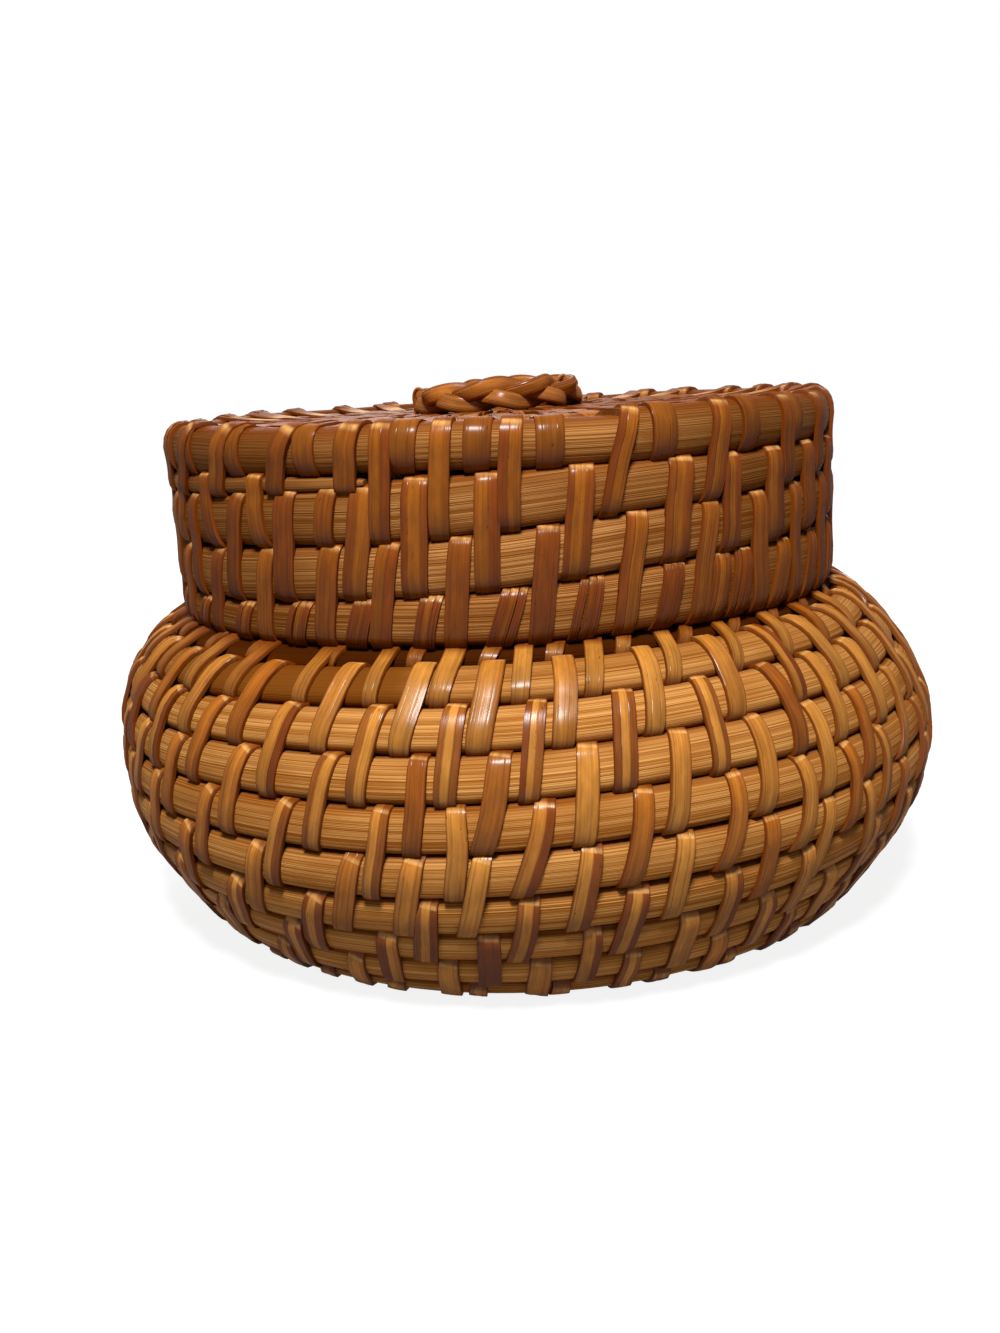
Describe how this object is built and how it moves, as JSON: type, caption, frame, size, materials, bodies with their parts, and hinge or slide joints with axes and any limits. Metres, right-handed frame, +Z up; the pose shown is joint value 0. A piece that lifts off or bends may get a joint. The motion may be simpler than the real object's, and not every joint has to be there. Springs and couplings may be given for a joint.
{
  "type": "lidded basket",
  "caption": "Round coiled rattan basket with a bulging belly, a lift-off lid over a collar and a plaited ring grip, for storing small things.",
  "frame": {"origin": "middle of the base, on the surface that the basket stands on", "axes": "+Z up along the coils' axis and the way the lid lifts; -Y towards the side that the picture shows"},
  "size_m": [0.1709, 0.1708, 0.1081],
  "materials": {
    "body_rod": "split rattan core, dry, with fine lengthwise fibres",
    "body_cane": "golden cane skin, semi-gloss",
    "lid_rod": "smoked rattan core with fine lengthwise fibres",
    "lid_cane": "amber to red-brown cane skin, semi-gloss",
    "plait": "dark amber cane, glossy where handled"
  },
  "bodies": {
    "basket": {"base_button": "body_rod", "base_rod_1": "body_rod", "base_rod_2": "body_rod", "wall_rod_1": "body_rod", "wall_rod_2": "body_rod", "wall_rod_3": "body_rod", "wall_rod_4": "body_rod", "wall_rod_5": "body_rod", "wall_rod_6": "body_rod", "wall_rod_7": "body_rod", "wall_rod_8": "body_rod", "wall_rod_9": "body_rod", "wall_rod_10": "body_rod", "collar_rod_1": "body_rod", "collar_rod_2": "body_rod", "collar_rod_3": "body_rod"},
    "lid": {"lid_button": "lid_rod", "lid_top_rod_1": "lid_rod", "lid_top_rod_2": "lid_rod", "lid_edge_hoop": "lid_rod", "skirt_rod_1": "lid_rod", "skirt_rod_2": "lid_rod", "skirt_rod_3": "lid_rod", "grip_strand_1": "plait", "grip_strand_2": "plait", "grip_strand_3": "plait", "grip_lashing_left": "plait", "grip_lashing_right": "plait"}
  },
  "joints": [
    {"name": "lid_lift", "type": "slide", "parent": "basket", "child": "lid", "axis": [0, 0, 1], "range_m": [0, 0.04]}
  ]
}
